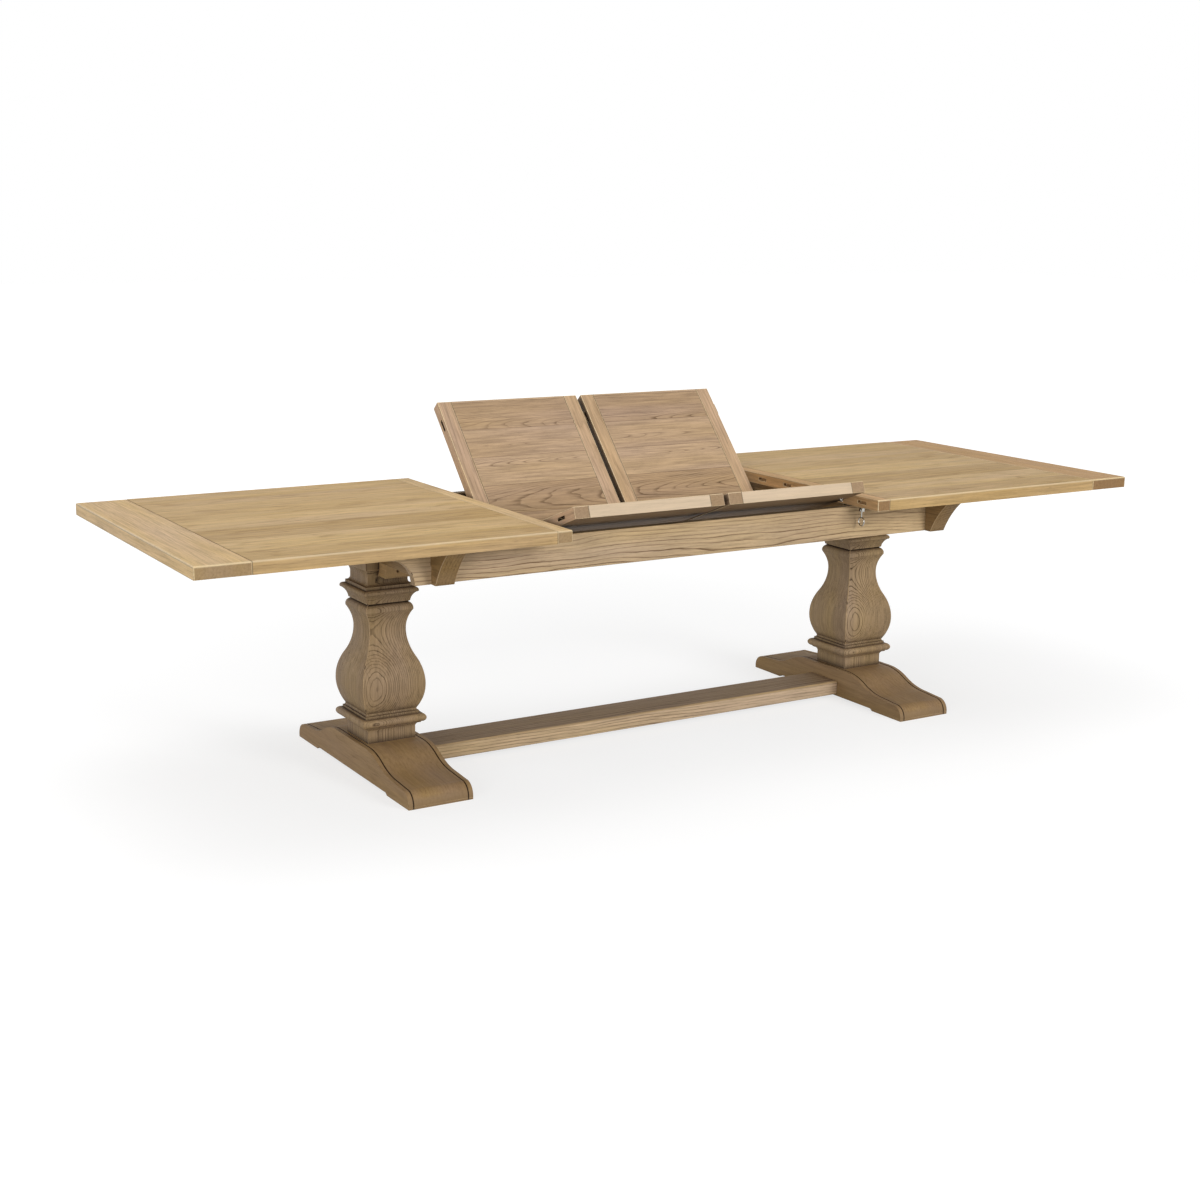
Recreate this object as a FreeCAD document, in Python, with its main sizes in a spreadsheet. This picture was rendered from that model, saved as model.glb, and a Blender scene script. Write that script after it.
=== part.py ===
import FreeCAD, Part
import math
import os
from types import SimpleNamespace

import Sketcher

# Extending dining table on two square vase pedestals, in millimetres and degrees.
# +X runs along the table, +Y to the back, +Z up, and the origin lies on the floor
# under the middle. The table stands pulled open with both folding leaves half raised.

SIZES = {
    # Table top halves
    "table_height": 770,
    "table_width": 1050,
    "top_thickness": 35,
    "half_top_length": 1068,
    "outer_cleat_width": 151,
    "inner_cleat_width": 47,
    "arris": 2.5,
    "seam_ease": 1.2,
    # Folding leaves
    "leaf_width": 503,
    "leaf_gap": 18,
    "leaf_clearance": 27.5,
    "leaf_cleat_width": 47,
    "leaf_fold_gap": 0.6,
    "pivot_reach": 151,
    "pivot_drop": 52.5,
    "far_tilt": 47.6,
    "near_tilt": 20.6,
    # Tongues and slots that line the tops up with the leaves
    "tongue_length": 12,
    "tongue_width": 40,
    "tongue_thickness": 9,
    "slot_play": 0.5,
    "slot_depth": 14,
    "inner_tongue_y": 68,
    "outer_tongue_inset": 78,
    # Pedestals
    "pedestal_x": 883,
    "foot_length": 800,
    "foot_width": 200,
    "foot_height": 100,
    "foot_flat_half": 105,
    "scroll_mid_y": 195,
    "scroll_mid_height": 78,
    "scroll_end_y": 290,
    "scroll_end_height": 53,
    "scroll_hollow_radius": 222,
    "toe_top_y": 360,
    "toe_top_height": 48,
    "toe_foot_height": 10,
    "scribe_inset": 15,
    "scribe_width": 3.2,
    "scribe_depth": 2.2,
    "pad_height": 7,
    "pad_length": 145,
    "pad_slope": 10,
    "plinth_half": 75.5,
    "plinth_block_height": 34,
    "plinth_hollow": 13,
    "plinth_lip": 3,
    "plinth_bead_height": 26,
    "plinth_bead_half": 101,
    "plinth_step_half": 85,
    "plinth_step_height": 7,
    "plinth_cove": 7,
    "vase_foot_half": 79,
    "belly_half": 100,
    "belly_rise": 76,
    "waist_half": 58,
    "waist_drop": 59,
    "lip_half": 75,
    "lip_edge": 4,
    "lip_roll": 18,
    "throat_half": 63,
    "capital_fillet": 5,
    "capital_flare": 25,
    "capital_flare_radius": 40,
    "capital_half": 87,
    "capital_nose": 14,
    "capital_nose_round": 5,
    "capital_shelf_half": 74,
    "capital_shelf": 10,
    "capital_cove": 12,
    "neck_half": 63,
    "neck_floor": 17,
    "neck_straight": 14,
    "neck_flare": 9,
    "neck_flare_height": 22,
    "neck_cheek": 67,
    "saddle_thickness": 40,
    "saddle_half_length": 115,
    "saddle_width": 76,
    "saddle_inset": 9,
    "saddle_chamfer": 5,
    "bolt_hole_radius": 5,
    "bolt_hole_depth": 30,
    # Steel rods that clamp each pedestal
    "tie_rod_radius": 6,
    "tie_rod_play": 0.6,
    "nut_radius": 11,
    "nut_height": 10,
    "washer_radius": 15,
    "washer_thickness": 2,
    "counterbore_play": 1,
    "counterbore_depth": 18,
    # Stretcher between the feet
    "stretcher_width": 140,
    "stretcher_bottom": 14,
    "stretcher_thickness": 46,
    "tenon_length": 40,
    "tenon_width": 100,
    "tenon_thickness": 26,
    # Underframe
    "apron_overhang": 118,
    "apron_thickness": 28,
    "apron_depth": 101.5,
    "apron_horn": 123,
    "apron_cove": 75,
    "rest_gap": 0.5,
    "bearer_thickness": 58,
    "right_bearer_inset": 17,
    "bearer_tail": 26,
    "bearer_reach": 77,
    "bearer_hollow_radius": 290,
    "cross_rail_set_back": 5.5,
    "cross_rail_thickness": 22,
    # Slides under the tops
    "channel_overrun": 47,
    "channel_width": 28,
    "channel_drop": 6.5,
    "channel_height": 30,
    "channel_wall": 3,
    "runner_play": 1,
    "runner_set_back": 16,
    "runner_end_gap": 1,
    "runner_screw_inset": 90,
    "screw_radius": 2.5,
    "screw_head_radius": 5,
    "screw_head_height": 4,
    "screw_sink": 12,
    "screw_bite": 20,
    # Leaf pivots and butterfly hinges
    "rod_radius": 7,
    "rod_play": 0.3,
    "bush_wall": 3.2,
    "bush_flange": 2.3,
    "bush_flange_thickness": 2,
    "bush_side_play": 0.3,
    "lug_inset": 70,
    "lug_thickness": 6,
    "lug_half_width": 22,
    "lug_below_pivot": 16,
    "lug_foot_width": 30,
    "lug_foot_thickness": 4,
    "hinge_inset": 110,
    "hinge_length": 60,
    "hinge_plate_thickness": 2,
    "hinge_plate_depth": 27,
    "knuckle_radius": 4,
    "knuckle_length": 15,
    "knuckle_play": 0.5,
    "hinge_pin_radius": 1.8,
    "hinge_pin_play": 0.1,
    # Latches that pull the tops together
    "latch_stand_off": 25,
    "latch_plate": 24,
    "latch_plate_thickness": 3,
    "latch_set_back": 14,
    "latch_pin_radius": 2,
    "latch_pin_drop": 10,
    "latch_ear_gap": 9,
    "latch_ear_thickness": 2.5,
    "latch_ear_half": 5,
    "hook_wire_radius": 1.8,
    "hook_eye_radius": 4.2,
    "hook_arm_length": 23,
    "hook_ring_radius": 13,
    "peg_radius": 4,
    "peg_length": 8,
    "peg_seat_radius": 9,
    "peg_seat_thickness": 2,
}

doc = FreeCAD.newDocument("ExtendingTable")
sheet = doc.addObject("Spreadsheet::Sheet", "Sizes")
for row, (alias, number) in enumerate(SIZES.items(), 1):
    sheet.set(f"A{row}", alias)
    sheet.set(f"B{row}", str(number))
    sheet.setAlias(f"B{row}", alias)
doc.recompute()


class Size:
    """A measure that keeps its value and the sheet formula that gives it."""

    def __init__(self, value, formula):
        self.value = value
        self.formula = formula

    def __add__(self, other):
        other = as_size(other)
        return Size(self.value + other.value, f"({self.formula} + {other.formula})")

    def __sub__(self, other):
        other = as_size(other)
        return Size(self.value - other.value, f"({self.formula} - {other.formula})")

    def __mul__(self, other):
        other = as_size(other)
        return Size(self.value * other.value, f"({self.formula} * {other.formula})")

    def __truediv__(self, other):
        other = as_size(other)
        return Size(self.value / other.value, f"({self.formula} / {other.formula})")

    def __radd__(self, other):
        return as_size(other) + self

    def __rsub__(self, other):
        return as_size(other) - self

    def __rmul__(self, other):
        return as_size(other) * self

    def __neg__(self):
        return self * -1


def as_size(measure):
    if isinstance(measure, Size):
        return measure
    return Size(float(measure), f"({measure})")


def sine(angle):
    return Size(math.sin(math.radians(angle.value)), f"sin({angle.formula})")


def cosine(angle):
    return Size(math.cos(math.radians(angle.value)), f"cos({angle.formula})")


s = SimpleNamespace(**{alias: Size(sheet.get(alias), f"Sizes.{alias}") for alias in SIZES})


def bind(thing, prop, measure):
    thing.setExpression(prop, as_size(measure).formula)


def place(thing, x=0, y=0, z=0):
    for axis, measure in (("x", x), ("y", y), ("z", z)):
        bind(thing, f"Placement.Base.{axis}", measure)
    return thing


def box(x, y, z):
    """A block between two values of x, of y and of z."""
    block = doc.addObject("Part::Box", "Block")
    for side, (low, high) in (("Length", x), ("Width", y), ("Height", z)):
        bind(block, side, high - low)
    return place(block, x[0], y[0], z[0])


TURN_TO = {
    "x": FreeCAD.Rotation(FreeCAD.Vector(0, 1, 0), 90),
    "y": FreeCAD.Rotation(FreeCAD.Vector(1, 0, 0), -90),
    "z": FreeCAD.Rotation(),
}


def cylinder(axis, radius, length, x, y, z):
    """A round bar that starts at x, y, z and runs along +axis."""
    bar = doc.addObject("Part::Cylinder", "Bar")
    bar.Placement.Rotation = TURN_TO[axis]
    bind(bar, "Radius", radius)
    bind(bar, "Height", length)
    return place(bar, x, y, z)


def ring(axis, radius, wire, x, y, z):
    """A round wire ring about an axis."""
    loop = doc.addObject("Part::Torus", "Ring")
    loop.Placement.Rotation = TURN_TO[axis]
    bind(loop, "Radius1", radius)
    bind(loop, "Radius2", wire)
    return place(loop, x, y, z)


def fuse(*pieces):
    joined = doc.addObject("Part::MultiFuse", "Joined")
    joined.Shapes = list(pieces)
    joined.Refine = True
    return joined


def common(first, second):
    shared = doc.addObject("Part::MultiCommon", "Shared")
    shared.Shapes = [first, second]
    return shared


def cut(base, *tools):
    carved = doc.addObject("Part::Cut", "Carved")
    carved.Base = base
    carved.Tool = tools[0] if len(tools) == 1 else fuse(*tools)
    return carved


def group(*pieces):
    """Like pieces that lie apart and share one node."""
    bunch = doc.addObject("Part::Compound", "Group")
    bunch.Links = list(pieces)
    return bunch


def arc_between(start, end, radius, turn):
    """The short arc from start to end: turn is 1 to the left and -1 to the right."""
    chord = end - start
    rise = math.sqrt(radius ** 2 - (chord.Length / 2) ** 2)
    side = FreeCAD.Vector(-chord.y, chord.x, 0).normalize()
    centre = start + chord * 0.5 + side * rise * turn
    first, last = (start, end) if turn > 0 else (end, start)
    angles = [math.atan2(point.y - centre.y, point.x - centre.x) for point in (first, last)]
    circle = Part.Circle(centre, FreeCAD.Vector(0, 0, 1), radius)
    return Part.ArcOfCircle(circle, angles[0], angles[1])


def draw(sketch, outline):
    """Closes an outline of (u, v) corners. A corner that is reached along an arc also
    gives the arc's radius and turn."""
    corners = [tuple(as_size(measure) for measure in corner[:2]) for corner in outline]
    points = [FreeCAD.Vector(u.value, v.value, 0) for u, v in corners]
    ends = []
    for index, start in enumerate(points):
        following = (index + 1) % len(points)
        bend = outline[following][2:]
        if bend:
            radius = as_size(bend[0])
            edge = sketch.addGeometry(arc_between(start, points[following], radius.value, bend[1]))
            ends.append((1, 2) if bend[1] > 0 else (2, 1))
            number = sketch.addConstraint(Sketcher.Constraint("Radius", edge, radius.value))
            sketch.setExpression(f"Constraints[{number}]", radius.formula)
        else:
            sketch.addGeometry(Part.LineSegment(start, points[following]))
            ends.append((1, 2))
    for edge, (u, v) in enumerate(corners):
        start_end = ends[edge][0]
        for kind, measure in (("DistanceX", u), ("DistanceY", v)):
            rule = Sketcher.Constraint(kind, -1, 1, edge, start_end, measure.value)
            number = sketch.addConstraint(rule)
            sketch.setExpression(f"Constraints[{number}]", measure.formula)
        before = (edge - 1) % len(corners)
        sketch.addConstraint(Sketcher.Constraint("Coincident", before, ends[before][1], edge, start_end))


def padded(plane, outline, depth):
    """A body whose outline on an origin plane is given depth, half to each side."""
    body = doc.addObject("PartDesign::Body", "Body")
    sketch = body.newObject("Sketcher::SketchObject", "Outline")
    support = [item for item in body.Origin.OriginFeatures if item.Role == plane][0]
    sketch.AttachmentSupport = [(support, "")]
    sketch.MapMode = "FlatFace"
    draw(sketch, outline)
    pad = body.newObject("PartDesign::Pad", "Pad")
    pad.Profile = sketch
    pad.Midplane = True
    bind(pad, "Length", depth)
    return body


def mirrored(half):
    """Closes a half outline, given upwards on the +u side, by its mirror image. Arcs keep
    their turn, because both the side and the direction change."""
    other = []
    for index in range(len(half) - 1, -1, -1):
        bend = half[index + 1][2:] if index + 1 < len(half) else ()
        other.append((-as_size(half[index][0]), half[index][1]) + tuple(bend))
    return half + other


def arc_radius(run, rise):
    """The radius of an arc that starts upright and leaves by run over a height of rise."""
    return (run * run + rise * rise) / (run * 2)


def crossed(half, depth):
    """A square turning: the same mirrored outline cut from the front and from the side."""
    outline = mirrored(half)
    return common(padded("XZ_Plane", outline, depth), padded("YZ_Plane", outline, depth))


def top_edges(block, height):
    """The edges of a block that lie at one height."""
    found = []
    for number, edge in enumerate(block.Shape.Edges, 1):
        if all(abs(point.Z - height.value) < 1e-6 for point in edge.Vertexes):
            found.append(number)
    return found


def eased(block, height, ease):
    """Takes the sharp top edges off a board."""
    doc.recompute()
    soft = doc.addObject("Part::Chamfer", "Eased")
    soft.Base = block
    soft.Edges = [(number, ease.value, ease.value) for number in top_edges(block, height)]
    return soft


PIECES = {}


def piece(name, shape):
    """Names a finished sub-part."""
    shape.Label = name
    PIECES[name] = shape
    return shape


# Levels and places that several pieces share
table_top = s.table_height
underside = s.table_height - s.top_thickness
frame_top = underside - s.rest_gap
half_width = s.table_width / 2
leaf_inner_x = s.leaf_gap / 2
leaf_outer_x = leaf_inner_x + s.leaf_width
top_inner_x = leaf_outer_x + s.leaf_clearance
top_outer_x = top_inner_x + s.half_top_length
inner_seam = top_inner_x + s.inner_cleat_width
outer_seam = top_outer_x - s.outer_cleat_width
outer_tongue_y = half_width - s.outer_tongue_inset
pivot_height = table_top - s.pivot_drop
apron_bottom = frame_top - s.apron_depth
lap_height = (apron_bottom + frame_top) / 2
apron_face_y = half_width - s.apron_overhang
apron_back_y = apron_face_y - s.apron_thickness
channel_back_y = apron_back_y - s.channel_width
channel_top = frame_top - s.channel_drop
channel_bottom = channel_top - s.channel_height
bearer_half = s.bearer_thickness / 2
right_bearer_x = s.pedestal_x - s.right_bearer_inset
cross_rail_x = top_inner_x + s.cross_rail_set_back
saddle_bottom = apron_bottom - s.saddle_thickness
neck_bottom = saddle_bottom - s.neck_floor
shelf_height = neck_bottom - s.capital_cove
nose_top = shelf_height - s.capital_shelf
nose_height = nose_top - s.capital_nose
fillet_top = nose_height - s.capital_flare
throat_height = fillet_top - s.capital_fillet
block_top = s.foot_height + s.plinth_block_height
bead_bottom = block_top + s.plinth_hollow + s.plinth_lip
bead_top = bead_bottom + s.plinth_bead_height
step_top = bead_top + s.plinth_step_height
vase_foot = step_top + s.plinth_cove
stretcher_top = s.stretcher_bottom + s.stretcher_thickness
tenon_middle = (s.stretcher_bottom + stretcher_top) / 2
tenon_y = (s.tenon_width / -2, s.tenon_width / 2)
tenon_z = (tenon_middle - s.tenon_thickness / 2, tenon_middle + s.tenon_thickness / 2)
bush_radius = s.rod_radius + s.rod_play + s.bush_wall
SIDES = (("left", -1), ("right", 1))


def span(side, low, high):
    """An interval of x on one side of the table, given outwards from the middle."""
    return (low, high) if side > 0 else (-high, -low)


# Feet

def foot_outline(inset):
    """The sawn side of a foot, drawn smaller by inset along its top and toes."""
    top = s.foot_height - inset
    crown_drop = s.foot_height - s.scroll_mid_height
    crown_run = s.scroll_mid_y - s.foot_flat_half
    crown_radius = arc_radius(crown_drop, crown_run)
    toe_radius = arc_radius(s.foot_length / 2 - s.toe_top_y, s.toe_top_height - s.toe_foot_height)
    half = [
        (s.foot_length / 2 - inset, s.pad_height),
        (s.foot_length / 2 - inset, s.toe_foot_height),
        (s.toe_top_y, s.toe_top_height - inset, toe_radius - inset, 1),
        (s.scroll_end_y, s.scroll_end_height - inset),
        (s.scroll_mid_y, s.scroll_mid_height - inset, s.scroll_hollow_radius + inset, -1),
        (s.foot_flat_half, top, crown_radius, 1),
    ]
    return mirrored(half)


def foot(side):
    blank = padded("YZ_Plane", foot_outline(as_size(0)), s.foot_width)
    tools = []
    for edge in (-1, 1):
        rim = padded("YZ_Plane", foot_outline(as_size(0)), s.scribe_width)
        core = padded("YZ_Plane", foot_outline(s.scribe_depth), s.scribe_width)
        line = cut(rim, core)
        tools.append(place(line, (s.foot_width / 2 - s.scribe_inset) * edge))
    tools.append(cylinder("z", s.tie_rod_radius + s.tie_rod_play, s.foot_height, 0, 0, 0))
    sink = s.pad_height + s.counterbore_depth
    tools.append(cylinder("z", s.washer_radius + s.counterbore_play, sink, 0, 0, 0))
    socket = span(-side, s.foot_width / 2 - s.tenon_length, s.foot_width / 2)
    tools.append(box(socket, tenon_y, tenon_z))
    return place(cut(blank, *tools), s.pedestal_x * side)


pads = []
for name, side in SIDES:
    piece(f"{name}_foot", foot(side))
    for end in (-1, 1):
        outer = s.foot_length / 2 * end
        inner = (s.foot_length / 2 - s.pad_length) * end
        slope = s.pad_slope * end
        outline = [(inner, 0), (outer, 0), (outer, s.pad_height), (inner - slope, s.pad_height)]
        pads.append(place(padded("YZ_Plane", outline, s.foot_width), s.pedestal_x * side))
piece("foot_pads", group(*pads))


# Columns. The vase takes up the height that the mouldings above and below it leave.

def plinth():
    bead_radius = s.plinth_bead_height / 2
    bead_root = s.plinth_bead_half - bead_radius
    cove_radius = arc_radius(s.plinth_cove, s.plinth_step_half - s.vase_foot_half)
    half = [
        (s.plinth_half, s.foot_height),
        (s.plinth_half, block_top),
        (s.plinth_half + s.plinth_hollow, block_top + s.plinth_hollow, s.plinth_hollow, -1),
        (s.plinth_half + s.plinth_hollow, bead_bottom),
        (bead_root, bead_bottom),
        (s.plinth_bead_half, bead_bottom + bead_radius, bead_radius, 1),
        (bead_root, bead_top, bead_radius, 1),
        (s.plinth_step_half, bead_top),
        (s.plinth_step_half, step_top),
        (s.vase_foot_half, vase_foot, cove_radius, -1),
    ]
    return crossed(half, s.plinth_bead_half * 2)


def vase():
    lip_top = throat_height - s.lip_roll
    lip = lip_top - s.lip_edge
    waist = lip - s.waist_drop
    belly = vase_foot + s.belly_rise
    belly_middle = (s.belly_half + s.waist_half) / 2
    shoulder = (belly + waist) / 2
    swell = arc_radius(s.belly_half - s.vase_foot_half, s.belly_rise)
    sweep = arc_radius(s.belly_half - belly_middle, shoulder - belly)
    flare = arc_radius(s.lip_half - s.waist_half, s.waist_drop)
    roll = arc_radius(s.lip_half - s.throat_half, s.lip_roll)
    half = [
        (s.vase_foot_half, vase_foot),
        (s.belly_half, belly, swell, 1),
        (belly_middle, shoulder, sweep, 1),
        (s.waist_half, waist, sweep, -1),
        (s.lip_half, lip, flare, -1),
        (s.lip_half, lip_top),
        (s.throat_half, throat_height, roll, 1),
    ]
    return crossed(half, s.belly_half * 2)


def capital():
    fillet_half = s.throat_half + s.capital_fillet
    nose_radius = arc_radius(s.capital_half - s.capital_shelf_half, s.capital_nose - s.capital_nose_round)
    cove_radius = arc_radius(s.capital_cove, s.capital_shelf_half - s.neck_half)
    half = [
        (s.throat_half, throat_height),
        (fillet_half, throat_height + s.capital_fillet / 2),
        (fillet_half, fillet_top),
        (s.capital_half - s.capital_nose_round, nose_height, s.capital_flare_radius, -1),
        (s.capital_half, nose_height + s.capital_nose_round, s.capital_nose_round, 1),
        (s.capital_shelf_half, nose_top, nose_radius, 1),
        (s.capital_shelf_half, shelf_height),
        (s.neck_half, neck_bottom, cove_radius, -1),
    ]
    return crossed(half, s.capital_half * 2)


def neck(saddle_middle):
    """Two cheeks on a floor. The slot between them holds the saddle, a little off the middle."""
    straight_top = neck_bottom + s.neck_straight
    flare_top = straight_top + s.neck_flare_height
    cheek_top = apron_bottom + s.neck_cheek
    reach = s.neck_half + s.neck_flare
    half = [
        (s.neck_half, neck_bottom),
        (s.neck_half, straight_top),
        (reach, flare_top, arc_radius(s.neck_flare, s.neck_flare_height), -1),
        (reach, cheek_top),
    ]
    slot_x = (saddle_middle - s.saddle_width / 2, saddle_middle + s.saddle_width / 2)
    return cut(crossed(half, reach * 2), box(slot_x, (-reach, reach), (saddle_bottom, cheek_top)))


def saddle(middle):
    """The block in the neck's slot that the bearer sits on, with a bolt hole in each end."""
    end = s.saddle_half_length
    foot_half = end - s.saddle_chamfer
    shoulder = saddle_bottom + s.saddle_chamfer
    outline = [(-foot_half, saddle_bottom), (foot_half, saddle_bottom), (end, shoulder),
               (end, apron_bottom), (-end, apron_bottom), (-end, shoulder)]
    block = place(padded("YZ_Plane", outline, s.saddle_width), middle)
    hole_height = (saddle_bottom + apron_bottom) / 2
    holes = [cylinder("y", s.bolt_hole_radius, s.bolt_hole_depth, middle, low, hole_height)
             for low in (-end, end - s.bolt_hole_depth)]
    sink = apron_bottom - s.counterbore_depth
    well = cylinder("z", s.washer_radius + s.counterbore_play, s.counterbore_depth, 0, 0, sink)
    return cut(block, well, *holes)


clamps = []
for name, side in SIDES:
    saddle_middle = s.saddle_inset * -side
    stack = {"plinth": plinth(), "vase": vase(), "capital": capital(),
             "neck": neck(saddle_middle), "saddle": saddle(saddle_middle)}
    for label, block in stack.items():
        bore = cylinder("z", s.tie_rod_radius + s.tie_rod_play, apron_bottom, 0, 0, 0)
        piece(f"{name}_{label}", place(cut(block, bore), s.pedestal_x * side))
    seat = s.pad_height + s.counterbore_depth
    perch = apron_bottom - s.counterbore_depth
    nuts = []
    for washer_z, nut_z in ((seat - s.washer_thickness, seat - s.washer_thickness - s.nut_height),
                            (perch, perch + s.washer_thickness)):
        nut = doc.addObject("Part::Prism", "Nut")
        nut.Polygon = 6
        bind(nut, "Circumradius", s.nut_radius)
        bind(nut, "Height", s.nut_height)
        nuts.append(place(nut, s.pedestal_x * side, 0, nut_z))
        nuts.append(cylinder("z", s.washer_radius, s.washer_thickness, s.pedestal_x * side, 0, washer_z))
    start = s.pad_height + s.washer_thickness
    length = apron_bottom - s.washer_thickness - start
    bar = cylinder("z", s.tie_rod_radius, length, s.pedestal_x * side, 0, start)
    clamps.append(fuse(bar, *nuts))
piece("column_tie_rods", group(*clamps))


# Stretcher with a stub tenon in each foot

stretcher_end = s.pedestal_x - s.foot_width / 2
beam = box((-stretcher_end, stretcher_end), (s.stretcher_width / -2, s.stretcher_width / 2),
           (s.stretcher_bottom, stretcher_top))
beam = eased(beam, stretcher_top, s.arris)
tenon = box((-stretcher_end - s.tenon_length, stretcher_end + s.tenon_length), tenon_y, tenon_z)
piece("stretcher", fuse(beam, tenon))


# Underframe: bearers with hollow ends, half lapped over the aprons

def bearer():
    """Runs from front to back over a pedestal. Its tails end in a hollow under the top."""
    tail_y = apron_face_y + s.bearer_tail
    half = [
        (apron_back_y, apron_bottom),
        (apron_back_y, lap_height),
        (apron_face_y, lap_height),
        (apron_face_y, apron_bottom),
        (tail_y, apron_bottom),
        (tail_y + s.bearer_reach, frame_top, s.bearer_hollow_radius, -1),
        (apron_back_y, frame_top),
        (apron_back_y, channel_bottom),
        (channel_back_y, channel_bottom),
        (channel_back_y, frame_top),
    ]
    return padded("YZ_Plane", mirrored(half), s.bearer_thickness)


def apron():
    """A long side board, notched for the bearers. Its left end runs on to a coved horn and
    its right end stops flush with the bearer."""
    horn_x = -s.pedestal_x - bearer_half - s.apron_horn
    outline = [
        (horn_x + s.apron_cove, apron_bottom, s.apron_cove, -1),
        (right_bearer_x + bearer_half, apron_bottom),
        (right_bearer_x + bearer_half, lap_height),
        (right_bearer_x - bearer_half, lap_height),
        (right_bearer_x - bearer_half, frame_top),
        (bearer_half - s.pedestal_x, frame_top),
        (bearer_half - s.pedestal_x, lap_height),
        (-s.pedestal_x - bearer_half, lap_height),
        (-s.pedestal_x - bearer_half, frame_top),
        (horn_x, frame_top),
        (horn_x, apron_bottom + s.apron_cove),
    ]
    return padded("XZ_Plane", outline, s.apron_thickness)


def cross_rail(side):
    """Ties the aprons beside the leaves and carries an end of the pivot rod."""
    rail_x = span(side, cross_rail_x, cross_rail_x + s.cross_rail_thickness)
    rail = box(rail_x, (-apron_back_y, apron_back_y), (apron_bottom, frame_top))
    tools = []
    for low, high in ((-apron_back_y, -channel_back_y), (channel_back_y, apron_back_y)):
        tools.append(box(rail_x, (low, high), (channel_bottom, frame_top)))
    tools.append(cylinder("x", s.rod_radius, s.cross_rail_thickness, rail_x[0], s.pivot_reach, pivot_height))
    return cut(rail, *tools)


for name, side in SIDES:
    bearer_x = s.pedestal_x if side < 0 else right_bearer_x
    piece(f"{name}_bearer", place(bearer(), bearer_x * side))
    piece(f"{name}_cross_rail", cross_rail(side))

apron_middle = apron_face_y - s.apron_thickness / 2
channel_middle = apron_back_y - s.channel_width / 2
for name, side in (("front", -1), ("back", 1)):
    piece(f"{name}_apron", place(apron(), 0, apron_middle * side))
    half = s.channel_width / 2
    hollow = half - s.channel_wall
    floor = channel_bottom + s.channel_wall
    outline = [(-half, channel_bottom), (half, channel_bottom), (half, channel_top),
               (hollow, channel_top), (hollow, floor), (-hollow, floor),
               (-hollow, channel_top), (-half, channel_top)]
    channel = padded("YZ_Plane", outline, (s.pedestal_x + s.channel_overrun) * 2)
    piece(f"{name}_slide_channel", place(channel, 0, channel_middle * side))

rod_end = cross_rail_x + s.cross_rail_thickness
piece("leaf_pivot_rod", cylinder("x", s.rod_radius, rod_end * 2, -rod_end, s.pivot_reach, pivot_height))


# Table top halves

def tongue(root_x, y):
    """A flat tongue that points along +X from root_x at mid thickness."""
    middle = table_top - s.top_thickness / 2
    return box((root_x, root_x + s.tongue_length), (y - s.tongue_width / 2, y + s.tongue_width / 2),
               (middle - s.tongue_thickness / 2, middle + s.tongue_thickness / 2))


def slot(mouth_x, y):
    """The pocket for a tongue, open towards -X at mouth_x."""
    middle = table_top - s.top_thickness / 2
    half_long = s.tongue_width / 2 + s.slot_play
    half_tall = s.tongue_thickness / 2 + s.slot_play
    return box((mouth_x, mouth_x + s.slot_depth), (y - half_long, y + half_long),
               (middle - half_tall, middle + half_tall))


TONGUE_Y = (-outer_tongue_y, -s.inner_tongue_y, s.inner_tongue_y, outer_tongue_y)
board_y = (-half_width, half_width)
board_z = (underside, table_top)
runner_y = (channel_back_y + s.channel_wall + s.runner_play, apron_back_y - s.channel_wall - s.runner_play)
runner_z = (channel_bottom + s.channel_wall + s.runner_play, underside)
runner_start = top_inner_x + s.runner_set_back
runner_end = outer_seam - s.runner_end_gap
runner_middle_y = (runner_y[0] + runner_y[1]) / 2
screw_x = (runner_start + s.runner_screw_inset, (runner_start + runner_end) / 2,
           runner_end - s.runner_screw_inset)


def runner_screw(side, x, y, hole):
    """A screw from a runner up into the top, or the hole for it, which is open below the head."""
    head_z = runner_z[0] + s.screw_sink - s.screw_head_height
    shank = cylinder("z", s.screw_radius, underside + s.screw_bite - head_z, x * side, y, head_z)
    if hole:
        sunk = cylinder("z", s.screw_head_radius, s.screw_sink, x * side, y, runner_z[0])
    else:
        sunk = cylinder("z", s.screw_head_radius, s.screw_head_height, x * side, y, head_z)
    return fuse(shank, sunk)


for name, side in SIDES:
    panel = eased(box(span(side, inner_seam, outer_seam), board_y, board_z), table_top, s.seam_ease)
    places = [(x, runner_middle_y * end) for end in (-1, 1) for x in screw_x]
    holes = [runner_screw(side, x, y, True) for x, y in places]
    piece(f"{name}_top_panel", cut(panel, *holes))
    outer = box(span(side, outer_seam, top_outer_x), board_y, board_z)
    piece(f"{name}_top_outer_cleat", eased(outer, table_top, s.arris))
    inner = eased(box(span(side, top_inner_x, inner_seam), board_y, board_z), table_top, s.seam_ease)
    if side < 0:
        piece("left_top_inner_cleat", inner)
        piece("left_top_tongues", group(*[tongue(-top_inner_x, y) for y in TONGUE_Y]))
    else:
        piece("right_top_inner_cleat", cut(inner, *[slot(top_inner_x, y) for y in TONGUE_Y]))
    runners = []
    for end in (-1, 1):
        y = runner_y if end > 0 else (-runner_y[1], -runner_y[0])
        bar = box(span(side, runner_start, runner_end), y, runner_z)
        sinks = [runner_screw(side, x, runner_middle_y * end, True) for x in screw_x]
        runners.append(cut(bar, *sinks))
    piece(f"{name}_top_runners", group(*runners))
    piece(f"{name}_runner_screws", group(*[runner_screw(side, x, y, False) for x, y in places]))


# Latches: hooks under the right top, pegs under the left top and the right leaf

hook_length = s.hook_arm_length + s.hook_ring_radius
latch_x = top_inner_x + s.latch_set_back
latch_z = underside - s.latch_pin_drop
peg_set_back = hook_length - s.latch_set_back


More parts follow.
